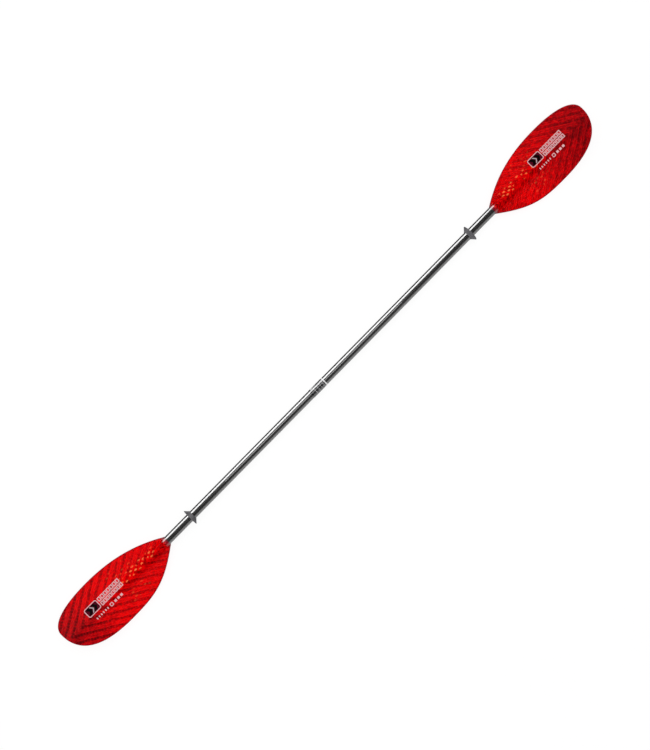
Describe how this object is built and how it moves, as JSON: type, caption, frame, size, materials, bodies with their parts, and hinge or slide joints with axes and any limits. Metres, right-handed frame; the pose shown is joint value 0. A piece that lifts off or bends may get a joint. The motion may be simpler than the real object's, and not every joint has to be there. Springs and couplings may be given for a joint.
{
  "type": "kayak paddle",
  "caption": "Two-piece double-bladed kayak paddle with a straight shaft, asymmetric spooned blades, a button ferrule and rubber drip rings.",
  "frame": {"origin": "on the shaft's axis at the middle of the paddle's overall length, 16 mm from the ferrule's seam", "axes": "+X along the shaft toward the half that carries the spigot and its button, +Y toward the blades' straighter longer edge, +Z out of the power faces"},
  "size_m": [2.3994, 0.1873, 0.068],
  "materials": {
    "blade_laminate": "gloss",
    "carbon_tube": "gloss",
    "ring_rubber": "matte",
    "seam_metal": "satin",
    "ferrule_plastic": "satin",
    "cap_plastic": "matte",
    "foam": "matte",
    "scale_film": "satin",
    "decal": "satin",
    "button_steel": "polished",
    "spring_steel": "satin"
  },
  "bodies": {
    "left_half": {"left_blade": "blade_laminate", "left_blade_core": "foam", "left_blade_badge": "decal", "left_blade_bars": "decal", "left_blade_line": "decal", "left_shaft": "carbon_tube", "ferrule_socket": "ferrule_plastic", "angle_scale": "scale_film", "socket_bulkhead": "foam"},
    "seam_ring": {"seam_ring": "seam_metal"},
    "right_half": {"right_blade": "blade_laminate", "right_blade_core": "foam", "right_blade_badge": "decal", "right_blade_bars": "decal", "right_blade_line": "decal", "right_shaft": "carbon_tube", "ferrule_spigot": "ferrule_plastic", "spigot_end_cap": "cap_plastic", "spigot_bulkhead": "foam", "button_spring": "spring_steel"},
    "snap_button": {"snap_button": "button_steel"},
    "left_drip_ring": {"left_drip_ring": "ring_rubber"},
    "right_drip_ring": {"right_drip_ring": "ring_rubber"}
  },
  "joints": [
    {"name": "pull_apart", "type": "slide", "parent": "left_half", "child": "seam_ring", "axis": [1, 0, 0], "range_m": [0, 0.105], "deforming": ["snap_button", "button_spring"]},
    {"name": "feather", "type": "hinge", "parent": "seam_ring", "child": "right_half", "pos_m": [-0.0355, 0, 0], "axis": [1, 0, 0], "range_deg": [-60, 60], "deforming": ["snap_button", "button_spring"]},
    {"name": "button_press", "type": "slide", "parent": "right_half", "child": "snap_button", "axis": [0, 0, 1], "range_m": [0, 0.005], "stiffness_N_per_m": 1200, "springref_m": -0.005, "deforming": ["button_spring"]},
    {"name": "left_ring_slide", "type": "slide", "parent": "left_half", "child": "left_drip_ring", "axis": [1, 0, 0], "range_m": [-0.09, 0.25]},
    {"name": "right_ring_slide", "type": "slide", "parent": "right_half", "child": "right_drip_ring", "axis": [-1, 0, 0], "range_m": [-0.09, 0.25]}
  ]
}
